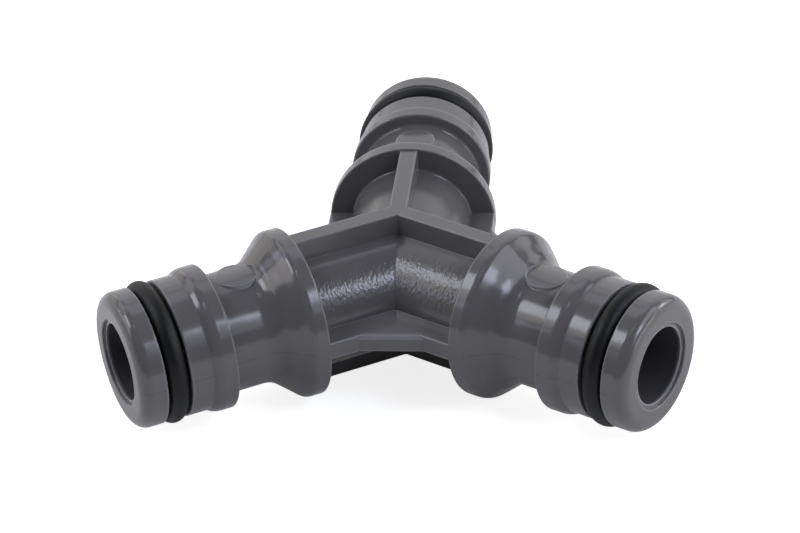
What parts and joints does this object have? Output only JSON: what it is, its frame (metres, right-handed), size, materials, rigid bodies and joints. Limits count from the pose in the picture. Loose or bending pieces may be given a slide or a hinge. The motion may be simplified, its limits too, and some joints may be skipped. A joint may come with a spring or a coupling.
{
  "type": "tubing y connector",
  "caption": "Y-shaped plastic hose connector: flanged push-in stubs at equal angles around a ribbed hub, each with a collar and an O-ring near its open end, joined by one waterway.",
  "frame": {"origin": "the point where the three bore axes meet, at the middle of the hub", "axes": "+Z is square to the plane of the arms, on the side of the landing pads; +Y runs out along the back stub; the left and right stubs point 120 degrees to either side of it, towards -Y"},
  "size_m": [0.0678, 0.0591, 0.0197],
  "materials": {
    "body_plastic": "mid-grey injection-moulded plastic, semi-gloss on the stubs, ribs and web, spark-eroded grain on the hub tubes",
    "ring_rubber": "black rubber, satin"
  },
  "bodies": {
    "root": {"body": "body_plastic", "back_o_ring": "ring_rubber", "left_o_ring": "ring_rubber", "right_o_ring": "ring_rubber"}
  },
  "joints": []
}
